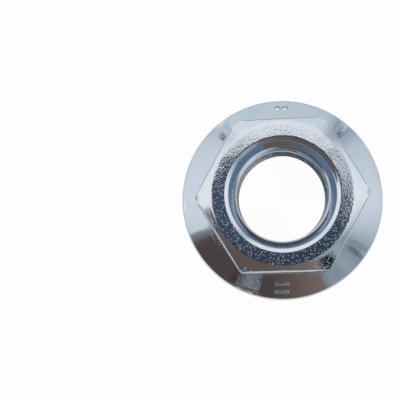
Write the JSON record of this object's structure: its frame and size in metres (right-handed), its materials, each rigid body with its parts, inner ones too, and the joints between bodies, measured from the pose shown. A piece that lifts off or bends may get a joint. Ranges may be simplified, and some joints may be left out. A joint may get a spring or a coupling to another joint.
{
  "type": "serrated flange nut",
  "caption": "Hexagon nut with a conical washer flange; the flange's underside has ratchet serrations that bite into the joint and resist loosening.",
  "frame": {"origin": "on the thread axis, in the plane of the serration crests that the nut bears on", "axes": "+Z along the thread axis from the bearing face to the crowned hexagon; +X towards one corner of the hexagon"},
  "size_m": [0.02, 0.02, 0.0097],
  "materials": {
    "zinc_plated_steel": "bright zinc plating with a clear blue passivation over cold-forged steel: smooth on the flange and crown, grainy on the top ring and flats"
  },
  "bodies": {
    "root": {"flange_nut": "zinc_plated_steel"}
  },
  "joints": []
}
